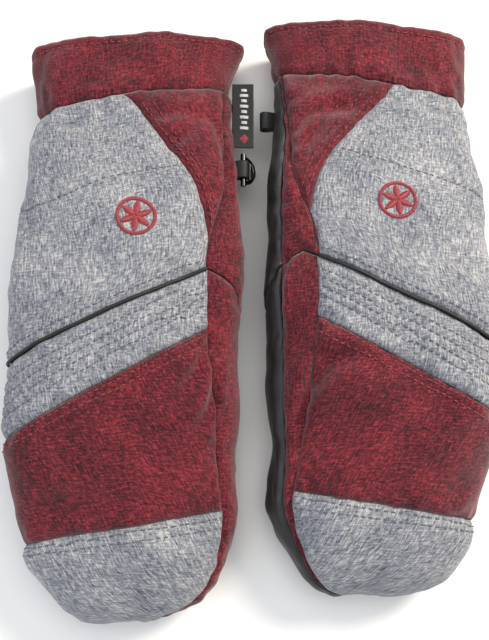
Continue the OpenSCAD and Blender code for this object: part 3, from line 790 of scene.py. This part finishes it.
def stitchRow(paths, tree, side):  # starts, ends and up directions for rows of even stitches
    starts, ends, ups = [], [], []
    for s, a in paths:
        line = place(skin(s, a, 0.0), side)
        run = arcs(line[None], 1)[0]
        step = (sewing["stitch"] + sewing["gap"]) / 1000
        at = np.arange(step / 2, run[-1] - step / 2, step)
        half = sewing["stitch"] / 2000
        p0 = np.stack([np.interp(at - half, run, line[:, k]) for k in range(3)], -1)
        p1 = np.stack([np.interp(at + half, run, line[:, k]) for k in range(3)], -1)
        q0, n0 = onto(tree, p0)
        q1, n1 = onto(tree, p1)
        starts.append(q0)
        ends.append(q1)
        ups.append(unit(n0 + n1))
    lift, up = sewing["lift"] / 1000, np.concatenate(ups)
    return np.concatenate(starts) + up * lift, np.concatenate(ends) + up * lift, up


def acrossLine(s, side, low=None, high=193.0, n=240):
    a = np.linspace(float(stripSeam(s, side)) + 2 if low is None else low, high, n)
    return np.full(n, float(s)), a


for side in ("right", "left"):
    hand, hood = f"{side}_hand", f"{side}_hood"
    made = pieces[side]
    handTree = searchTree([made["BackPanel"], made["WristGusset"], made["HandStrip"],
                           made["CuffBand"]])
    hoodTree = searchTree([made["QuiltedBand"], made["KnucklePanel"], made["TipPanel"],
                           made["HoodStrip"]])
    # along the gusset's slanting edge, two rows on the burgundy side
    s = np.linspace(108, 8, 200)
    diagonal = [(s, backSeam(s, side) - off) for off in (2.6, 7.6)]
    rows = [
        ("HemStitches", "burgundyThread", hand, handTree,
         [(np.full(500, 145.5), np.linspace(2, 358, 500))]),
        ("GussetStitches", "burgundyThread", hand, handTree,
         [(s[(a > stripSeam(s, side) + 3)], a[(a > stripSeam(s, side) + 3)])
          for s, a in diagonal]),
        ("PipingStitches", "greyThread", hand, handTree, [acrossLine(5.0, side)]),
        ("BackStitches", "greyThread", hand, handTree,
         [acrossLine(66, side, float(backSeam(66, side)) + 3)]),
        ("QuiltStitches", "greyThread", hood, hoodTree,
         [acrossLine(k, side) for k in quilting["rows"]]),
        ("KnuckleStitches", "burgundyThread", hood, hoodTree,
         [acrossLine(k, side) for k in (-35.4, -40.0)]),
        ("TipStitches", "greyThread", hood, hoodTree,
         [acrossLine(k, side) for k in (-107.2, -111.5)]),
    ]
    for key, look, body, tree, paths in rows:
        fit(bars(side + key, *stitchRow(paths, tree, side), sewing["radius"] / 1000), look, body)

    # emblem: a satin-stitched ring round a six-armed star
    sign = 1 if side == "right" else -1
    centre = np.array([6.0 * sign, 44.0])
    a = np.arange(0, 2 * math.pi, 0.055)
    inner, outer = 8.3, 10.2
    c0 = np.stack([np.cos(a), np.sin(a)], -1) * inner
    c1 = np.stack([np.cos(a + 0.06), np.sin(a + 0.06)], -1) * outer
    starts, ends = [c0], [c1]
    for k in range(6):  # each arm is a leaf, sewn across its length
        d = np.array([math.cos(k * math.pi / 3 + 0.4), math.sin(k * math.pi / 3 + 0.4)])
        e = np.array([-d[1], d[0]])
        t = np.arange(0.6, 7.4, 0.42)[:, None]
        half = 0.35 + 1.5 * np.sin(math.pi * np.clip((t - 0.2) / 7.6, 0, 1)) ** 0.8
        starts.append(d * t - e * half)
        ends.append(d * (t + 0.5) + e * half)
    flat = [np.concatenate(q) + centre for q in (starts, ends)]
    flat = [place(np.column_stack([q, np.full(len(q), 66.0)]), side) for q in flat]
    (q0, n0), (q1, n1) = (onto(handTree, [(*p[:2], p[2] - 0.006) for p in q]) for q in flat)
    up = unit(n0 + n1)
    up = up * np.sign(up[:, 2:3])
    lift = up * 0.00035
    fit(bars(side + "Emblem", q0 + lift, q1 + lift, up, 0.00042, 0.9), "redThread", hand,
        f"{side}_emblem")
print("stitches and emblems made")


labelBox = [np.array(v) * 1000 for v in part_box("label_tab")]
label = {"width": 10.5, "length": 36.0, "thick": 0.5, "bars": 8}


# The ribbon is folded in two: its two faces part a little and its end is a soft bend.
def makeLabel():
    (x0, y0, _), (x1, y1, z1) = labelBox
    v, u = np.meshgrid(np.linspace(0, 1, 50), np.linspace(0, 1, 16), indexing="ij")
    x = x0 - 1.2 + (x1 - x0 + 1.0) * u
    y = y1 - (y1 - y0) * v
    z = z1 + 0.15 + 0.7 * np.sin(v * math.pi * 1.6 + 0.4) + 0.9 * u * np.sin(v * 3.3 + 0.8)
    top = np.stack([x, y, z], -1) / 1000
    rows, cols = top.shape[:2]
    i, j = np.meshgrid(np.arange(rows - 1), np.arange(cols - 1), indexing="ij")
    quads = np.stack([i * cols + j, (i + 1) * cols + j, (i + 1) * cols + j + 1,
                      i * cols + j + 1], -1).reshape(-1, 4)
    obj = newMesh("LabelRibbon", top.reshape(-1, 3), quads)
    wall = obj.modifiers.new("ribbon thickness", "SOLIDIFY")
    wall.thickness, wall.offset = label["thick"] / 1000, -1
    fit(obj, "label", "right_hand", "label_tab")
    tree = BVHTree.FromPolygons(top.reshape(-1, 3).tolist(), quads.tolist())

    def raised(name, outline, look):  # short threads across a shape woven into the ribbon
        starts, ends = outline
        (q0, n0), (q1, n1) = (onto(tree, np.column_stack([q, np.full(len(q), z1)]) / 1000)
                              for q in (starts, ends))
        up = unit(n0 + n1)
        up = up * np.sign(up[:, 2:3])
        fit(bars(name, q0 + up * 0.0001, q1 + up * 0.0001, up, 0.00022, 0.6), look, "right_hand")

    starts, ends = [], []
    cx = (x0 + x1) / 2
    for k in range(label["bars"]):      # a plain row of slanting strokes, no lettering
        yTop = y1 - 3.2 - k * 3.0
        wide = 2.5 if k % 2 else 1.7
        for q in np.arange(0, 1.5, 0.3):
            starts.append((cx - wide, yTop - q))
            ends.append((cx + wide, yTop - q - 0.25))
    raised("LabelStrokes", (np.array(starts), np.array(ends)), "labelWhite")
    t = np.arange(-2.6, 2.7, 0.3)
    half = 2.7 - np.abs(t)
    low = y0 + 5.0
    raised("LabelDiamond", (np.column_stack([cx - half - 0.05, low + t]),
                            np.column_stack([cx + half + 0.05, low + t + 0.1])), "redThread")


makeLabel()


# Webbing goes out from the side seam, round the bar and back: a ribbon's four-sided profile
# carried along that path.
def makeWebbing(name, node, body, side):
    low, high = (np.array(v) * 1000 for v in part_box(node))
    mirror = 1 if side == "right" else -1
    eye = 3.05
    xe = high[0] - eye if side == "right" else low[0] + eye
    xs = low[0] - 2.0 if side == "right" else high[0] + 2.0
    ym, zm, wide = (low[1] + high[1]) / 2, (low[2] + high[2]) / 2, (high[1] - low[1]) / 2 + 0.2
    r = 2.35
    bend = np.linspace(math.pi / 2, -math.pi / 2, 22)
    top = np.linspace(0, 1, 12)[:-1]
    path = np.concatenate([
        np.column_stack([xs + (xe - xs) * top, 0.9 + (r - 0.9) * ease(top * 1.2 - 0.2)]),
        np.column_stack([xe + mirror * r * np.cos(bend), r * np.sin(bend)]),
        np.column_stack([xs + (xe - xs) * top[::-1], -0.9 - (r - 0.9) * ease(
            top[::-1] * 1.2 - 0.2)])])
    d = np.gradient(path, axis=0)
    d /= np.linalg.norm(d, axis=1, keepdims=True)
    out = np.column_stack([-d[:, 1], d[:, 0]]) * mirror
    v = np.linspace(-1, 1, 13)
    rib = 0.08 * np.cos(v * 6 * math.pi)
    faces = []
    for sign in (1, -1):
        off = sign * (0.62 + rib)[None, :, None] * out[:, None]
        pos = path[:, None] + off
        y = ym + wide * v[None] * np.ones((len(path), 1))
        grid = np.stack([pos[..., 0], y, zm + pos[..., 1]], -1)
        faces.append(grid if sign > 0 else grid[:, ::-1])
    p = np.concatenate(faces, axis=1) / 1000
    rows, cols = p.shape[:2]
    i, j = np.meshgrid(np.arange(rows - 1), np.arange(cols), indexing="ij")
    m = (j + 1) % cols
    quads = np.stack([i * cols + j, i * cols + m, (i + 1) * cols + m, (i + 1) * cols + j],
                     -1).reshape(-1, 4)
    ends = []
    for row in (0, rows - 1):
        for q in range(12):
            ends.append([row * cols + q, row * cols + q + 1, row * cols + cols - 2 - q,
                         row * cols + cols - 1 - q])
    obj = newMesh(name, p.reshape(-1, 3), np.concatenate([quads, np.array(ends)]))
    recalc(obj)
    fit(obj, "webbing", body, node)


makeWebbing("ClipWebbing", "clip_webbing", "right_hand", "right")
makeWebbing("LeftClipLoop", "left_clip_loop", "left_hand", "left")
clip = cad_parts["clip_ring"]
clip.data.materials.clear()
clip.data.materials.append(finish["plastic"])
print("label, webbing and clip made")

view = {"place": (-0.0244, -0.1014, 0.4624), "pitch": 77.6, "yaw": 12.05, "roll": 12.17,
        "lens": 48.8}


def makeTable(name, size, height, colour):
    mat = plainFinish("pale painted board", colour, colour, 30.0, 0.9, 0.00001)
    side = np.linspace(-size, size, 9)
    x, y = np.meshgrid(side, side, indexing="ij")
    p = np.stack([x, y, np.full_like(x, height)], -1)
    i, j = np.meshgrid(np.arange(8), np.arange(8), indexing="ij")
    quads = np.stack([i * 9 + j, (i + 1) * 9 + j, (i + 1) * 9 + j + 1, i * 9 + j + 1],
                     -1).reshape(-1, 4)
    obj = newMesh(name, p.reshape(-1, 3), quads, smooth=False)
    obj.data.materials.append(mat)


makeTable("Table", 3.0, -0.0005, "#f4f4f2")


def softLight(name, at, aim, size, power, colour="#ffffff"):
    data = bpy.data.lights.new(name, "AREA")
    data.shape, data.size, data.energy = "DISK", size, power
    data.color = linear(colour)[:3]
    obj = bpy.data.objects.new(name, data)
    bpy.context.scene.collection.objects.link(obj)
    obj.location = at
    obj.rotation_euler = (Vector(aim) - Vector(at)).to_track_quat("-Z", "Y").to_euler()


softLight("KeyLight", (0.85, 0.60, 0.9), (0, 0, 0.03), 0.5, 21, "#fff4e6")
softLight("FillLight", (-1.0, -0.5, 0.9), (0, 0, 0.03), 1.2, 6, "#dfe9ff")
softLight("TopLight", (0.0, 0.1, 1.5), (0, 0, 0.0), 1.4, 10)
world = bpy.data.worlds.new("Studio")
bpy.context.scene.world = world
world.use_nodes = True
world.node_tree.nodes["Background"].inputs[0].default_value = linear("#ffffff")
world.node_tree.nodes["Background"].inputs[1].default_value = 0.42

lens = bpy.data.cameras.new("Camera")
lens.lens, lens.sensor_width = view["lens"], 36
lens.clip_start, lens.clip_end = 0.01, 20
camera = bpy.data.objects.new("Camera", lens)
bpy.context.scene.collection.objects.link(camera)
camera.location = view["place"]
turn = (Matrix.Rotation(math.radians(-view["yaw"]), 4, "Z")
        @ Matrix.Rotation(math.radians(90 - view["pitch"]), 4, "X")
        @ Matrix.Rotation(math.radians(view["roll"]), 4, "Z"))
camera.rotation_euler = turn.to_euler()
bpy.context.scene.camera = camera
bpy.context.scene.view_settings.view_transform = "Standard"
